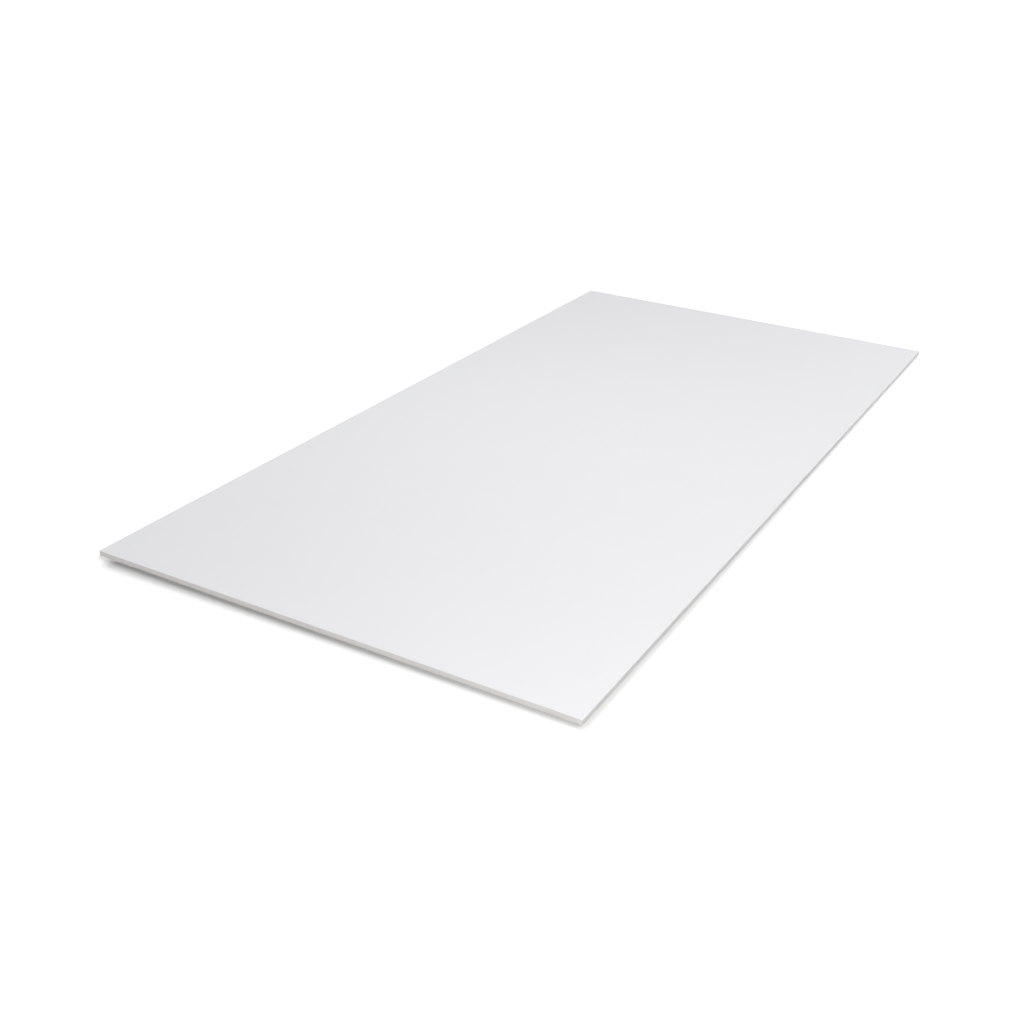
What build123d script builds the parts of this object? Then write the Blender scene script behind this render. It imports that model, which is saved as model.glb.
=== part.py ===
from build123d import *
import os

# A plywood sheet, primed white all over, lying flat on its back face.
# +Y runs along its length, +X across its width and +Z up through its thickness.
# The origin is the middle of the back face.

# The trimmed sheet: 4 ft by 8 ft by 1/2 in, in millimetres
sheet_width = 1219.2
sheet_length = 2438.4
sheet_thickness = 12.7

# The four upright corners are cut square, and sanding just takes their points off
corner_radius = 2.5

# The front arrises are only just sanded. The back ones are rounded more, which
# leaves the dark line under the edge that the photograph shows.
front_arris_radius = 0.5
back_arris_radius = 1.5

with BuildPart() as plywood_sheet:
    with BuildSketch(Plane.XY):
        Rectangle(sheet_width, sheet_length)
    extrude(amount=sheet_thickness)
    fillet(plywood_sheet.edges().filter_by(Axis.Z), radius=corner_radius)
    front_arrises = plywood_sheet.faces().sort_by(Axis.Z)[-1].edges()
    fillet(front_arrises, radius=front_arris_radius)
    back_arrises = plywood_sheet.faces().sort_by(Axis.Z)[0].edges()
    fillet(back_arrises, radius=back_arris_radius)

plywood_sheet.part.label = "plywood_sheet"

os.makedirs("parts", exist_ok=True)
export_step(plywood_sheet.part, "parts/plywood_sheet.step")
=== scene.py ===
"""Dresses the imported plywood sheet: its primed faces, its cut edges, the studio and the camera."""

import logging
import math
from dataclasses import dataclass
from enum import Enum
from typing import ClassVar, NamedTuple

import bpy
import numpy as np
from mathutils import Euler, Matrix, Vector


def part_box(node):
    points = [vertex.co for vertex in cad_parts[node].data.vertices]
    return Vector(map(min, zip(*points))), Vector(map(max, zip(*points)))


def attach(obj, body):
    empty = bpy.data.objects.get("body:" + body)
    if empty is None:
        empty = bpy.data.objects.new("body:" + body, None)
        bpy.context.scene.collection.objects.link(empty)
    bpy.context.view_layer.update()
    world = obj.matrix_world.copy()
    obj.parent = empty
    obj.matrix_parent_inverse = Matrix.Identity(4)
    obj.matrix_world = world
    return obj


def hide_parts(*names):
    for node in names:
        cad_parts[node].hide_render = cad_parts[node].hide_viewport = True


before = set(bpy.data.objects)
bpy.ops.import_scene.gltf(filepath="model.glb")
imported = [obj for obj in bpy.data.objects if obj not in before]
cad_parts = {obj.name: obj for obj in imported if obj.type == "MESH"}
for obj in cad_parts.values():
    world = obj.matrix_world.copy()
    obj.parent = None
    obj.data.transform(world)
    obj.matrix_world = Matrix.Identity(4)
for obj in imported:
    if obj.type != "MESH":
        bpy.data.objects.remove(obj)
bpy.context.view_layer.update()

NODE = "plywood_sheet"
MM = 0.001

log = logging.getLogger(NODE)

Colour = tuple[float, float, float]
Place = tuple[float, float, float]
Sizes = tuple[float, float, float]
Span = tuple[float, float]


class Lay(Enum):
    """Which way a ply's grain runs."""

    LENGTHWISE = "along the sheet's length"
    CROSSWISE = "across the sheet's width"

    def turned(self) -> "Lay":
        """The lay of the next ply, a quarter turn round."""
        return Lay.CROSSWISE if self is Lay.LENGTHWISE else Lay.LENGTHWISE


class Finish(Enum):
    """The place of each finish in the sheet's list of materials."""

    FACE = 0
    EDGE = 1


class Spread(Enum):
    """The part of a pattern's range, from 0 to 1, over which a finish goes from end to end."""

    WIDE = (0.2, 0.8)
    MIDDLE = (0.25, 0.75)
    NARROW = (0.3, 0.7)
    PITS = (0.38, 0.60)


@dataclass(frozen=True)
class Pattern:
    """A smooth random pattern, with patches of its own size along each axis, in metres.

    Finer octaves are added to it, each of half the size of the one before, and weaker by the
    falloff.
    """

    size: Sizes
    octaves: float
    falloff: float = 0.5


def placed(name: str, data: bpy.types.ID) -> bpy.types.Object:
    """Makes an object of a mesh, a lamp or a camera, and puts it in the scene.

    Args:
        name: The object's name.
        data: The mesh, lamp or camera.

    Returns:
        The object, at the origin.
    """
    made = bpy.data.objects.new(name, data)
    bpy.context.scene.collection.objects.link(made)
    return made


class NodePlan:
    """Adds nodes to a material or a world and joins them, so that it reads as a list of steps."""

    def __init__(self, owner: bpy.types.Material | bpy.types.World) -> None:
        """Clears the owner's nodes, so that all of them are made here.

        Args:
            owner: The material or the world.
        """
        owner.use_nodes = True
        self.owner = owner
        self.tree = owner.node_tree
        self.tree.nodes.clear()

    def add(self, kind: str, inputs: dict[str, object] | None = None,
            **settings: object) -> bpy.types.Node:
        """Adds one node.

        Args:
            kind: Blender's name of the node type.
            inputs: Socket names, each with a value or with the output that feeds it.
            settings: Properties of the node itself.

        Returns:
            The new node.
        """
        node = self.tree.nodes.new(kind)
        for key, value in settings.items():
            setattr(node, key, value)
        for key, value in (inputs or {}).items():
            self.feed(node.inputs[key], value)
        return node

    def feed(self, socket: bpy.types.NodeSocket, value: object) -> None:
        """Links an output to a socket, or sets the socket's own value.

        Args:
            socket: The input socket.
            value: An output socket, a number, or a list of numbers.
        """
        if isinstance(value, bpy.types.NodeSocket):
            self.tree.links.new(value, socket)
        else:
            socket.default_value = value

    def noise(self, where: bpy.types.NodeSocket, pattern: Pattern) -> bpy.types.NodeSocket:
        """Adds a smooth random pattern.

        Args:
            where: The coordinates, in metres.
            pattern: Its size and octaves.

        Returns:
            The pattern, from 0 to 1 and mostly near 0.5.
        """
        scale = [1 / size for size in pattern.size]
        mapping = self.add("ShaderNodeMapping", {"Vector": where, "Scale": scale})
        inputs = {"Vector": mapping.outputs[0], "Scale": 1.0,
                  "Detail": pattern.octaves, "Roughness": pattern.falloff}
        return self.add("ShaderNodeTexNoise", inputs).outputs[0]

    def ranged(self, value: bpy.types.NodeSocket, source: Span, target: Span,
               ease: str = "LINEAR") -> bpy.types.NodeSocket:
        """Maps one range of values onto another, and holds what lies outside at its ends.

        Args:
            value: The value to map.
            source: The range it has.
            target: The range it gets.
            ease: Blender's name for the way it goes from one end to the other.

        Returns:
            The mapped value.
        """
        inputs = {"Value": value, "From Min": source[0], "From Max": source[1],
                  "To Min": target[0], "To Max": target[1]}
        return self.add("ShaderNodeMapRange", inputs, interpolation_type=ease).outputs[0]

    def calc(self, operation: str, *values: object) -> bpy.types.NodeSocket:
        """Works through numbers from the first to the last.

        Args:
            operation: Blender's name of the operation.
            values: Output sockets or numbers.

        Returns:
            The result.
        """
        total = values[0]
        for value in values[1:]:
            node = self.add("ShaderNodeMath", operation=operation)
            self.feed(node.inputs[0], total)
            self.feed(node.inputs[1], value)
            total = node.outputs[0]
        return total

    def sum(self, *terms: object) -> bpy.types.NodeSocket:
        """Adds sockets and numbers up."""
        return self.calc("ADD", *terms)

    def product(self, *factors: object) -> bpy.types.NodeSocket:
        """Multiplies sockets and numbers."""
        return self.calc("MULTIPLY", *factors)

    def largest(self, *values: object) -> bpy.types.NodeSocket:
        """Takes the largest of sockets and numbers."""
        return self.calc("MAXIMUM", *values)

    def seen(self) -> bpy.types.NodeSocket:
        """Tells the rays that see the set from those that only carry light.

        Returns:
            1 for rays from the camera, from gloss and through glass, and otherwise 0.
        """
        rays = self.add("ShaderNodeLightPath").outputs
        return self.largest(rays["Is Camera Ray"], rays["Is Glossy Ray"], rays["Is Transmission Ray"])

    def shade(self, colour: Colour, level: bpy.types.NodeSocket) -> bpy.types.NodeSocket:
        """A colour made lighter or darker by a level.

        Args:
            colour: Red, green and blue in linear light.
            level: What each of them is multiplied by.

        Returns:
            The shaded colour.
        """
        node = self.add("ShaderNodeVectorMath", operation="SCALE")
        self.feed(node.inputs[0], list(colour))
        self.feed(node.inputs["Scale"], level)
        return node.outputs[0]

    def finish(self, base: bpy.types.NodeSocket, roughness: bpy.types.NodeSocket, gloss: float,
               height: bpy.types.NodeSocket) -> bpy.types.Material:
        """Ends the material in a painted surface.

        Args:
            base: The colour.
            roughness: The roughness of its gloss.
            gloss: The strength of its gloss, where 0.5 is usual for paint.
            height: The relief, in metres.

        Returns:
            The material.
        """
        bump = self.add("ShaderNodeBump", {"Strength": 1.0, "Distance": 1.0, "Height": height})
        inputs = {"Base Color": base, "Roughness": roughness, "Specular IOR Level": gloss,
                  "Normal": bump.outputs[0]}
        surface = self.add("ShaderNodeBsdfPrincipled", inputs)
        self.add("ShaderNodeOutputMaterial", {"Surface": surface.outputs[0]})
        return self.owner


@dataclass(frozen=True)
class FacePrimer:
    """Smooth white primer, rolled on and lightly sanded, as on the two faces."""

    colour: Colour = (0.853, 0.853, 0.869)
    gloss: float = 0.12
    roughness: Span = (0.74, 0.82)
    cloud: Pattern = Pattern((240 * MM, 240 * MM, 240 * MM), octaves=3.0)
    cloud_shade: Span = (0.986, 1.007)
    stipple: Pattern = Pattern((1.8 * MM, 1.8 * MM, 1.8 * MM), octaves=2.0)
    stipple_height: float = 0.160 * MM
    grain: Pattern = Pattern((4 * MM, 160 * MM, 4 * MM), octaves=4.0, falloff=0.6)
    grain_shade: Span = (-0.0035, 0.0035)
    grain_height: float = 0.140 * MM

    def material(self) -> bpy.types.Material:
        """Makes the finish: a clouded white, with roller stipple and a trace of the grain below.

        Returns:
            The material.
        """
        plan = NodePlan(bpy.data.materials.new("face_primer"))
        where = plan.add("ShaderNodeTexCoord").outputs["Object"]
        cloud = plan.noise(where, self.cloud)
        stipple = plan.noise(where, self.stipple)
        grain = plan.noise(where, self.grain)
        tone = plan.sum(plan.ranged(cloud, Spread.MIDDLE.value, self.cloud_shade),
                        plan.ranged(grain, Spread.WIDE.value, self.grain_shade))
        height = plan.sum(plan.product(stipple, self.stipple_height),
                          plan.product(grain, self.grain_height))
        roughness = plan.ranged(cloud, Spread.NARROW.value, self.roughness)
        return plan.finish(plan.shade(self.colour, tone), roughness, self.gloss, height)


@dataclass(frozen=True)
class EdgePrimer:
    """Thin matt primer on the saw-cut edges, through which the plies still show.

    Its patterns lie on the map of run and height, which is flat, so their third size has no effect.
    """

    colour: Colour = (0.716, 0.700, 0.685)
    gloss: float = 0.35
    roughness: Span = (0.62, 0.78)
    end_grain_shade: float = 0.035
    glue_shade: float = 0.11
    fibre: Pattern = Pattern((24 * MM, 0.28 * MM, 1.0), octaves=3.0, falloff=0.65)
    fibre_levels: Span = (-1.0, 0.4)
    fibre_shade: float = 0.05
    fibre_height: float = 0.030 * MM
    pore: Pattern = Pattern((0.45 * MM, 0.45 * MM, 1.0), octaves=2.0, falloff=0.6)
    pore_levels: Span = (-1.0, 0.0)
    pore_shade: float = 0.05
    pore_height: float = 0.045 * MM
    patch: Pattern = Pattern((60 * MM, 15 * MM, 1.0), octaves=2.0)
    patch_shade: Span = (-0.025, 0.025)

    def material(self) -> bpy.types.Material:
        """Makes the finish: a warm off-white with fibres along the plies and pores in end grain.

        Returns:
            The material.
        """
        plan = NodePlan(bpy.data.materials.new("edge_primer"))
        run_map = plan.add("ShaderNodeUVMap", uv_map=Sheet.RUN_MAP).outputs[0]
        end_grain = plan.add("ShaderNodeAttribute", attribute_name=Sheet.END_GRAIN).outputs["Fac"]
        glue = plan.add("ShaderNodeAttribute", attribute_name=Sheet.GLUE_LINE).outputs["Fac"]
        side_grain = plan.ranged(end_grain, (0.0, 1.0), (1.0, 0.0))
        fibre = plan.ranged(plan.noise(run_map, self.fibre), Spread.MIDDLE.value, self.fibre_levels)
        pore = plan.ranged(plan.noise(run_map, self.pore), Spread.PITS.value, self.pore_levels)
        patch = plan.noise(run_map, self.patch)
        tone = plan.sum(
            1.0,
            plan.product(end_grain, -self.end_grain_shade),
            plan.product(glue, -self.glue_shade),
            plan.product(fibre, side_grain, self.fibre_shade),
            plan.product(pore, end_grain, self.pore_shade),
            plan.ranged(patch, Spread.NARROW.value, self.patch_shade))
        height = plan.sum(plan.product(fibre, side_grain, self.fibre_height),
                          plan.product(pore, end_grain, self.pore_height))
        roughness = plan.ranged(patch, Spread.NARROW.value, self.roughness)
        return plan.finish(plan.shade(self.colour, tone), roughness, self.gloss, height)


@dataclass(frozen=True)
class PlyStack:
    """The plies that show at the cut edges, listed from the front face to the back face."""

    thickness_shares: tuple[float, ...] = (0.16, 0.24, 0.20, 0.24, 0.16)
    first_lay: Lay = Lay.LENGTHWISE

    def glue_lines(self, thickness: float) -> np.ndarray:
        """The height of each glue line above the back face.

        Args:
            thickness: The sheet's thickness, in metres.

        Returns:
            One height for each joint between two plies, the highest first.
        """
        return thickness * (1 - np.cumsum(self.thickness_shares)[:-1])

    def lays(self) -> list[Lay]:
        """The lay of each ply: each is turned a quarter from the one before.

        Returns:
            The lays, from the front face to the back face.
        """
        lays = [self.first_lay]
        for _ in self.thickness_shares[1:]:
            lays.append(lays[-1].turned())
        return lays


class Rim(NamedTuple):
    """The stations round the sheet's rim, anticlockwise as seen from above."""

    centre: np.ndarray
    outward: np.ndarray
    node: np.ndarray
    run: np.ndarray
    on_short_side: np.ndarray


class Section(NamedTuple):
    """The section carried round the rim, from the front face over the edge to the back face."""

    inset: np.ndarray
    height: np.ndarray
    glue: np.ndarray
    crosswise: np.ndarray


@dataclass
class Sheet:
    """The plywood sheet: two gridded faces, joined by one section that is carried round the rim."""

    RUN_MAP: ClassVar[str] = "run_and_height"
    END_GRAIN: ClassVar[str] = "end_grain"
    GLUE_LINE: ClassVar[str] = "glue_line"

    width: float
    length: float
    thickness: float
    plies: PlyStack
    corner_radius: float = 2.5 * MM
    front_arris_radius: float = 0.5 * MM
    back_arris_radius: float = 1.5 * MM
    cell: float = 12 * MM
    corner_steps: int = 6
    arris_steps: int = 5
    glue_groove_width: float = 0.30 * MM
    glue_groove_depth: float = 0.07 * MM
    end_grain_depth: float = 0.04 * MM
    saw_wave_depth: float = 0.03 * MM
    saw_wave_length: float = 85 * MM
    face_wave_depth: float = 0.06 * MM
    face_wave_length: float = 610 * MM

    def cells(self) -> tuple[int, int]:
        """How many cells a face's grid has: the flat length of a side over a cell's size, rounded.

        Returns:
            The number across the sheet and the number along it.
        """
        flat_width = self.width - 2 * self.corner_radius
        flat_length = self.length - 2 * self.corner_radius
        return round(flat_width / self.cell), round(flat_length / self.cell)

    def grid(self) -> tuple[np.ndarray, np.ndarray]:
        """The places of a face's grid points: even steps between the centres of the corners' arcs.

        Returns:
            x and y, each with a row for each step along the sheet.
        """
        across, along = self.cells()
        half_width = self.width / 2 - self.corner_radius
        half_length = self.length / 2 - self.corner_radius
        return np.meshgrid(np.linspace(-half_width, half_width, across + 1),
                           np.linspace(-half_length, half_length, along + 1))

    def front_face(self) -> np.ndarray:
        """The front face's points, which dip a little where the sanding took more off.

        The dip is the face wave's depth times a product of two sines, one along each axis, squared
        so that it never rises. Both sines are nil at the rim, where the face is level.

        Returns:
            One point for each grid point, in metres.
        """
        x, y = self.grid()
        waves_across = max(1, round(self.width / self.face_wave_length))
        waves_along = max(1, round(self.length / self.face_wave_length))
        across = np.sin(math.pi * waves_across * (x - x.min()) / np.ptp(x))
        along = np.sin(math.pi * waves_along * (y - y.min()) / np.ptp(y))
        dip = self.face_wave_depth * (across * along) ** 2
        return np.stack([x, y, self.thickness - dip], -1).reshape(-1, 3)

    def back_face(self) -> np.ndarray:
        """The back face's points, which are level, because the sheet lies on them."""
        x, y = self.grid()
        return np.stack([x, y, np.zeros_like(x)], -1).reshape(-1, 3)

    def rim(self) -> Rim:
        """Works out the stations round the rim.

        Each side has a station at each grid point along it, facing straight out. Each corner adds
        stations on the arc's centre, whose direction turns by even steps through a quarter turn.

        Returns:
            Each station's centre, outward direction, grid point, run from the first station, and
            whether it lies on a short side.
        """
        across, along = self.cells()
        x, y = self.grid()
        nodes = np.arange(x.size).reshape(x.shape)
        sides = [nodes[0], nodes[:, across], nodes[along, ::-1], nodes[::-1, 0]]
        quarter = math.pi / 2
        turn = np.linspace(0, quarter, self.corner_steps + 1)[1:-1]
        node, angle, short = [], [], []
        for i, side in enumerate(sides):
            straight_out = (i - 1) * quarter
            node += [side, np.full(turn.size, side[-1])]
            angle += [np.full(side.size, straight_out), straight_out + turn]
            short += [np.full(side.size + turn.size, i % 2 == 0)]
        node, angle = np.concatenate(node), np.concatenate(angle)
        outward = np.stack([np.cos(angle), np.sin(angle)], -1)
        centre = np.stack([x.ravel()[node], y.ravel()[node]], -1)
        outline = centre + self.corner_radius * outward
        steps = np.linalg.norm(np.roll(outline, -1, 0) - outline, axis=1)
        run = np.concatenate([[0.0], np.cumsum(steps)])
        return Rim(centre, outward, node, run, np.concatenate(short))

    def section(self) -> Section:
        """Works out the section.

        It starts at the corner radius in from the edge, rounds the front arris by a quarter circle,
        goes down the edge with three points at each glue line and one in the middle of what each
        ply has between the arrises, rounds the back arris, and ends at the corner radius in from
        the edge. Its height never rises on the way.

        Returns:
            Each point's inset from the edge and height, how much of it is glue line, and whether
            its ply lies crosswise.
        """
        turn = np.linspace(0, math.pi / 2, self.arris_steps + 1)
        front_inset = self.front_arris_radius * (1 - np.sin(turn))
        front_height = self.thickness - self.front_arris_radius * (1 - np.cos(turn))
        back_inset = self.back_arris_radius * (1 - np.cos(turn))
        back_height = self.back_arris_radius * (1 - np.sin(turn))
        glue_lines = self.plies.glue_lines(self.thickness)
        edge_top = self.thickness - self.front_arris_radius
        bounds = np.concatenate([[edge_top], glue_lines, [self.back_arris_radius]])
        middles = (bounds[:-1] + bounds[1:]) / 2
        half_groove = self.glue_groove_width / 2
        at_glue = [glue_lines + half_groove, glue_lines, glue_lines - half_groove]
        edge_height = np.sort(np.concatenate([*at_glue, middles]))[::-1]
        height = np.concatenate([[self.thickness], front_height, edge_height, back_height, [0.0]])
        inset = np.concatenate([[self.corner_radius], front_inset, np.zeros(edge_height.size),
                                back_inset, [self.corner_radius]])
        # Of the three points at a glue line, only the middle one counts as glue.
        nearest = np.abs(height[:, None] - glue_lines[None, :]).min(1)
        glue = (nearest < half_groove / 2).astype(float)
        # A point belongs to the ply whose bounds it lies between.
        ply = np.clip(np.searchsorted(-bounds, -height, side="right") - 1, 0, len(middles) - 1)
        crosswise = np.array([lay is Lay.CROSSWISE for lay in self.plies.lays()], float)[ply]
        return Section(inset, height, glue, crosswise)

    def relief(self, rim: Rim, section: Section) -> tuple[np.ndarray, np.ndarray]:
        """How far the saw-cut edge lies in from the sheet's true size.

        It is the groove's depth at the glue lines, plus the end grain's depth on each ply that is
        cut across its grain, plus a shallow wave from the saw that runs round the rim. The
        arrises have none.

        Args:
            rim: The stations.
            section: The section.

        Returns:
            The depth and the share of end grain, each with a row for each section point.
        """
        crosswise, short = section.crosswise[:, None], rim.on_short_side[None, :]
        end_grain = np.where(short, 1 - crosswise, crosswise)
        waves = max(1, round(rim.run[-1] / self.saw_wave_length))
        phase = 2 * math.pi * waves * rim.run[:-1] / rim.run[-1]
        saw = self.saw_wave_depth * (1 + np.sin(phase)) / 2
        depth = (self.glue_groove_depth * section.glue[:, None]
                 + self.end_grain_depth * end_grain + saw[None, :])
        on_edge = (section.inset == 0).astype(float)[:, None]
        return depth * on_edge, end_grain

    def mesh(self) -> bpy.types.Mesh:
        """Makes the sheet's closed mesh.

        The section's point j at station i lies at the station's centre plus the corner radius less
        the inset, along the outward direction. The first and last rings are the faces' own rim
        points, so the faces and the edge share them. On a corner these points are one, and the
        quads there come down to triangles.

        Returns:
            The mesh, with its map of run and height and its marks of end grain and glue.
        """
        rim, section = self.rim(), self.section()
        depth, end_grain = self.relief(rim, section)
        front, back = self.front_face(), self.back_face()
        stations, points = rim.node.size, section.height.size

        reach = self.corner_radius - section.inset[:, None] - depth
        flat = rim.centre[None] + reach[..., None] * rim.outward[None]
        height = np.broadcast_to(section.height[:, None, None], (points, stations, 1))
        rings = np.concatenate([flat, height], -1)[1:-1].reshape(-1, 3)
        vertices = np.concatenate([front, back, rings])

        first_ring = len(front) + len(back)
        ring_index = first_ring + np.arange(rings.shape[0]).reshape(points - 2, stations)
        index = np.vstack([rim.node, ring_index, rim.node + len(front)])
        after = np.roll(index, -1, 1)
        edge = np.stack([index[:-1], index[1:], after[1:], after[:-1]], -1).reshape(-1, 4)

        across, along = self.cells()
        grid_points = np.arange((across + 1) * (along + 1)).reshape(along + 1, across + 1)
        corner = grid_points[:-1, :-1].ravel()
        face = np.stack([corner, corner + 1, corner + across + 2, corner + across + 1], -1)
        faces = np.concatenate([face, face[:, ::-1] + len(front)])

        run = np.broadcast_to(rim.run[None, :], (points, stations + 1))
        rise = np.broadcast_to(section.height[:, None], (points, stations + 1))
        place = np.stack([run, rise], -1)
        edge_map = np.stack([place[:-1, :-1], place[1:, :-1], place[1:, 1:], place[:-1, 1:]], 2)
        face_map = vertices[faces][..., :2]

        quads = np.concatenate([faces, edge])
        quad_map = np.concatenate([face_map, edge_map.reshape(-1, 4, 2)])
        # A strip of the section that runs more inwards than down gets the faces' finish.
        level_strip = np.abs(np.diff(section.height)) < np.abs(np.diff(section.inset))
        strip_finish = np.where(level_strip, Finish.FACE.value, Finish.EDGE.value)
        face_finish = np.full(len(faces), Finish.FACE.value)
        finish = np.concatenate([face_finish, np.repeat(strip_finish, stations)])
        # A quad's corner is dropped where the next one is the same point.
        kept = quads != np.roll(quads, -1, 1)

        mesh = bpy.data.meshes.new(NODE)
        ends = np.cumsum(kept.sum(1))[:-1]
        mesh.from_pydata(vertices.tolist(), [], [part.tolist() for part in np.split(quads[kept], ends)])
        mesh.polygons.foreach_set("material_index", finish.astype(np.int32))
        mesh.polygons.foreach_set("use_smooth", np.ones(len(quads), bool))
        run_map = mesh.uv_layers.new(name=self.RUN_MAP)
        run_map.data.foreach_set("uv", quad_map[kept].astype(np.float32).ravel())
        on_faces = np.zeros(first_ring)
        self.mark(mesh, self.END_GRAIN, np.concatenate([on_faces, end_grain[1:-1].ravel()]))
        glue = np.repeat(section.glue[1:-1], stations)
        self.mark(mesh, self.GLUE_LINE, np.concatenate([on_faces, glue]))
        mesh.update()
        return mesh

    @staticmethod
    def mark(mesh: bpy.types.Mesh, name: str, values: np.ndarray) -> None:
        """Stores one number for each vertex.

        Args:
            mesh: The mesh.
            name: The attribute's name.
            values: The numbers, in the vertices' order.
        """
        attribute = mesh.attributes.new(name, "FLOAT", "POINT")
        attribute.data.foreach_set("value", values.astype(np.float32))

    def build(self, face: FacePrimer, edge: EdgePrimer) -> bpy.types.Object:
        """Makes the sheet and puts it in the place of the CAD node.

        Args:
            face: The finish of the two faces.
            edge: The finish of the cut edges.

        Returns:
            The sheet's object.
        """
        mesh = self.mesh()
        mesh.materials.append(face.material())
        mesh.materials.append(edge.material())
        sheet = placed("primed_sheet", mesh)
        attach(sheet, "root")
        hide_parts(NODE)
        log.info("%s: %d vertices, %d faces", sheet.name, len(mesh.vertices), len(mesh.polygons))
        return sheet


def direction(azimuth: float, elevation: float) -> Vector:
    """The direction that an azimuth and an elevation give.

    Args:
        azimuth: The angle from the front of the sheet (-Y) towards its right side (+X), in radians.
        elevation: The angle above the floor, in radians.

    Returns:
        A unit vector.
    """
    level = math.cos(elevation)
    return Vector((math.sin(azimuth) * level, -math.cos(azimuth) * level, math.sin(elevation)))


def facing(back: Vector) -> Euler:
    """The turn of a lamp whose back points in a direction, so that it shines the other way.

    Args:
        back: The direction.

    Returns:
        The lamp's turn.
    """
    return back.to_track_quat("Z", "Y").to_euler()


@dataclass(frozen=True)
class PhotoCamera:
    """The photograph's camera, placed by the point on the front face that it looks at.

    That point lies across and along from the middle of the face, by shares of the sheet's width.
    """

    sheet_width: float
    face_height: float
    aim_across: float = 0.060
    aim_along: float = -0.450
    distance: float = 3.099
    azimuth: float = math.radians(29.356)
    elevation: float = math.radians(26.391)
    roll: float = math.radians(-1.513)
    image_width_px: float = 1024
    focal_px: float = 1282.2
    sensor: float = 36.0

    def build(self) -> bpy.types.Object:
        """Makes the camera and gives it to the scene.

        It stands back from the aim along the direction that its azimuth and elevation give, and
        is then rolled about its own axis.

        Returns:
            The camera's object.
        """
        back = direction(self.azimuth, self.elevation)
        right = Vector((0, 0, 1)).cross(back).normalized()
        up = back.cross(right)
        turned_right = right * math.cos(self.roll) - up * math.sin(self.roll)
        turned_up = right * math.sin(self.roll) + up * math.cos(self.roll)
        across, along = self.aim_across * self.sheet_width, self.aim_along * self.sheet_width
        eye = Vector((across, along, self.face_height)) + back * self.distance
        data = bpy.data.cameras.new("photo_camera")
        data.sensor_width = self.sensor
        data.lens = self.focal_px / self.image_width_px * self.sensor
        camera = placed("photo_camera", data)
        axes = Matrix((turned_right, turned_up, back)).transposed().to_4x4()
        camera.matrix_world = Matrix.Translation(eye) @ axes
        bpy.context.scene.camera = camera
        log.info("%s: %.1f mm lens, %.2f m above the floor", camera.name, data.lens, eye.z)
        return camera


@dataclass(frozen=True)
class SoftSun:
    """A broad light far away, which lights every part of the set alike."""

    name: str
    strength: float
    azimuth: float
    elevation: float
    spread: float

    def build(self) -> bpy.types.Object:
        """Makes the lamp, which shines from its azimuth and elevation towards the sheet.

        Returns:
            The lamp's object.
        """
        data = bpy.data.lights.new(self.name, "SUN")
        data.energy = self.strength
        data.angle = self.spread
        lamp = placed(self.name, data)
        lamp.rotation_euler = facing(direction(self.azimuth, self.elevation))
        return lamp


@dataclass(frozen=True)
class SoftBox:
    """A round lamp near the sheet, whose light falls off across it."""

    name: str
    watts: float
    size: float
    place: Place
    aim: Place

    def build(self) -> bpy.types.Object:
        """Makes the lamp, which shines from its place at its aim and isn't seen itself.

        Returns:
            The lamp's object.
        """
        data = bpy.data.lights.new(self.name, "AREA")
        data.energy = self.watts
        data.shape = "DISK"
        data.size = self.size
        lamp = placed(self.name, data)
        lamp.visible_camera = False
        lamp.location = self.place
        lamp.rotation_euler = facing(Vector(self.place) - Vector(self.aim))
        return lamp


@dataclass(frozen=True)
class PaintedShadowStrip:
    """The strip of floor beside the sheet's front and right edges, where the floor's glow is held back.

    Its floor shows darker than the lifted floor around it: a painted shadow on top of the real one.
    The strip is painted widest at the left and narrowest at the far right. So its front line runs
    outwards from the near corner to the left, and its right line inwards to the far end.
    """

    width: float
    length: float
    fade: float = 44 * MM
    front_drawn_in: float = 13 * MM
    right_drawn_in: float = 3 * MM
    left_drawn_in: float = 16 * MM
    front_slope: float = 0.0215
    right_slope: float = 0.0096

    @staticmethod
    def beyond(plan: NodePlan, outward: tuple[float, float, float],
               reach: float) -> bpy.types.NodeSocket:
        """How far a point of the floor lies beyond a straight line.

        Args:
            plan: The floor's material.
            outward: The direction across the line, which is so near to unit length that it counts
                as that.
            reach: How far the line lies from the sheet's middle in that direction, in metres.

        Returns:
            The distance, in metres, and less than nil on the middle's side.
        """
        where = plan.add("ShaderNodeTexCoord").outputs["Object"]
        across = plan.add("ShaderNodeVectorMath", operation="DOT_PRODUCT")
        plan.feed(across.inputs[0], where)
        plan.feed(across.inputs[1], outward)
        return plan.sum(across.outputs["Value"], -reach)

    def distance(self, plan: NodePlan) -> bpy.types.NodeSocket:
        """How far a point of the floor lies from where the painted shadow starts to fade.

        It is the distance outside four lines: the front and the right one, which slope as said
        above, and the left and the far one, which lie inside the sheet by at least the whole
        fade, so that no strip is left behind the sheet, where the light comes from.

        Args:
            plan: The floor's material.

        Returns:
            The distance, in metres, and nil inside the lines.
        """
        half_width, half_length = self.width / 2, self.length / 2
        front = self.beyond(plan, (self.front_slope, -1.0, 0.0),
                            half_length - self.front_drawn_in + self.front_slope * half_width)
        right = self.beyond(plan, (1.0, self.right_slope, 0.0),
                            half_width - self.right_drawn_in - self.right_slope * half_length)
        left = self.beyond(plan, (-1.0, 0.0, 0.0), half_width - self.left_drawn_in - self.fade)
        far = self.beyond(plan, (0.0, 1.0, 0.0), half_length - self.fade)
        sides = {"X": plan.largest(left, right, 0.0), "Y": plan.largest(front, far, 0.0)}
        length = plan.add("ShaderNodeVectorMath", operation="LENGTH")
        plan.feed(length.inputs[0], plan.add("ShaderNodeCombineXYZ", sides).outputs[0])
        return length.outputs["Value"]


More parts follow.
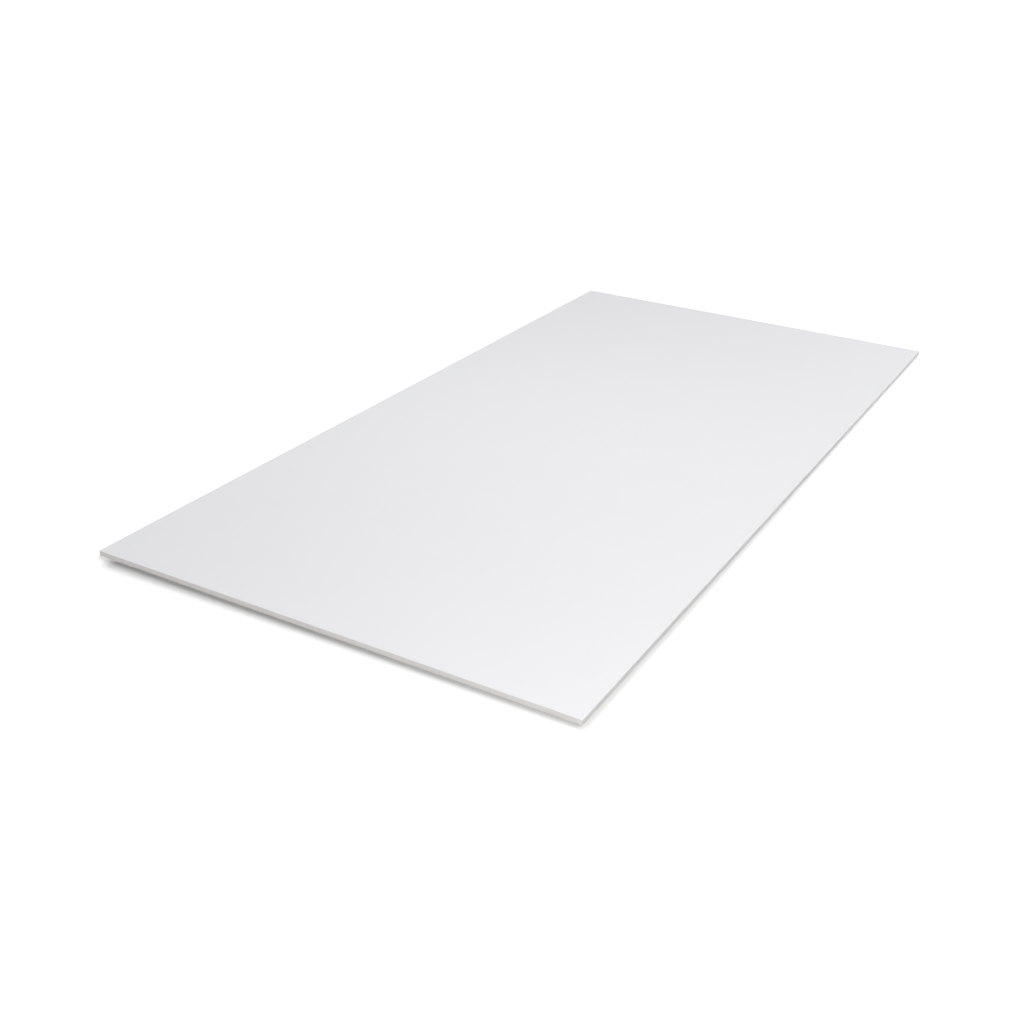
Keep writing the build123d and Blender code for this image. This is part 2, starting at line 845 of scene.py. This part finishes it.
@dataclass(frozen=True)
class Studio:
    """A plain white floor under a soft sky, with two broad keys from behind and softer fills."""

    lamps: tuple[SoftSun | SoftBox, ...]
    # The strip beside the sheet where the floor's glow is held back, which paints shadow there.
    shaded: PaintedShadowStrip
    white: Colour = (1.0, 1.0, 1.0)
    sky_seen: float = 1.0
    sky_light: float = 0.02
    floor_size: float = 80.0
    floor_colour: float = 0.80
    floor_lift: float = 0.465
    far_lift: float = 0.10
    far_fade: Span = (0.5, 5.0)

    def build(self) -> None:
        """Makes the sky, the floor and the lamps, and shows colours as they are written."""
        bpy.context.scene.view_settings.view_transform = "Standard"
        self.sky()
        self.floor()
        for lamp in self.lamps:
            log.info("%s: made", lamp.build().name)

    def sky(self) -> None:
        """Makes the sky: white as seen, in gloss and through glass, and dimmer as a light."""
        world = bpy.data.worlds.new("studio_sky")
        bpy.context.scene.world = world
        plan = NodePlan(world)
        strength = plan.ranged(plan.seen(), (0.0, 1.0), (self.sky_light, self.sky_seen))
        sky = plan.add("ShaderNodeBackground", {"Color": [*self.white, 1.0], "Strength": strength})
        plan.add("ShaderNodeOutputWorld", {"Surface": sky.outputs[0]})

    def floor(self) -> None:
        """Makes the floor: matt white, and lifted to white as seen by a glow held back beside the
        sheet.

        The lift grows from nil beside the sheet to its full strength past the strip, so that the floor
        beside the sheet is painted darker as shadow, and grows a little more far away, so that the
        floor's far edge doesn't show against the sky.
        """
        half = self.floor_size / 2
        corners = [(-half, -half, 0), (half, -half, 0), (half, half, 0), (-half, half, 0)]
        mesh = bpy.data.meshes.new("studio_floor")
        mesh.from_pydata(corners, [], [(0, 1, 2, 3)])
        floor = placed("studio_floor", mesh)
        plan = NodePlan(bpy.data.materials.new("studio_floor"))
        distance = self.shaded.distance(plan)
        # The glow is nil at the strip and full past the fade: what it lacks there is painted shadow.
        near = plan.ranged(distance, (0.0, self.shaded.fade), (0.0, self.floor_lift), "SMOOTHSTEP")
        far = plan.ranged(distance, self.far_fade, (0.0, self.far_lift))
        level = plan.product(plan.seen(), plan.sum(near, far))
        matt = plan.add("ShaderNodeBsdfDiffuse", {"Color": [self.floor_colour] * 3 + [1.0]})
        lift = plan.add("ShaderNodeEmission", {"Strength": level})
        both = plan.add("ShaderNodeAddShader")
        plan.feed(both.inputs[0], matt.outputs[0])
        plan.feed(both.inputs[1], lift.outputs[0])
        plan.add("ShaderNodeOutputMaterial", {"Surface": both.outputs[0]})
        mesh.materials.append(plan.owner)
        log.info("%s: %.0f m square", floor.name, self.floor_size)


LAMPS = (
    SoftSun("back_left_key", strength=2.45,
            azimuth=math.radians(205), elevation=math.radians(30), spread=math.radians(58)),
    SoftSun("back_right_key", strength=1.44,
            azimuth=math.radians(150), elevation=math.radians(30), spread=math.radians(58)),
    SoftSun("front_fill", strength=1.45,
            azimuth=math.radians(0), elevation=math.radians(7), spread=math.radians(12)),
    SoftBox("near_box", watts=7.8, size=1.6, place=(1.3, -1.0, 1.9), aim=(0.3, -0.6, 0.0)),
    SoftBox("low_box", watts=5.5, size=1.0, place=(1.2, -2.1, 0.75), aim=(0.4, -1.0, 0.0)),
    SoftBox("right_box", watts=16.1, size=1.6, place=(2.6, 1.5, 1.3), aim=(0.5, 0.9, 0.0)),
    SoftBox("over_box", watts=1.15, size=1.2, place=(-0.25, 0.0, 1.1), aim=(-0.25, 0.0, 0.0)),
)


def main() -> None:
    """Builds the camera, the sheet and the studio, sized by the CAD's box."""
    logging.basicConfig(level=logging.INFO, format="%(name)s %(message)s")
    low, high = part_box(NODE)
    width, length, thickness = high - low
    PhotoCamera(sheet_width=width, face_height=thickness).build()
    Sheet(width, length, thickness, PlyStack()).build(FacePrimer(), EdgePrimer())
    Studio(LAMPS, PaintedShadowStrip(width, length)).build()


if __name__ == "__main__":
    main()
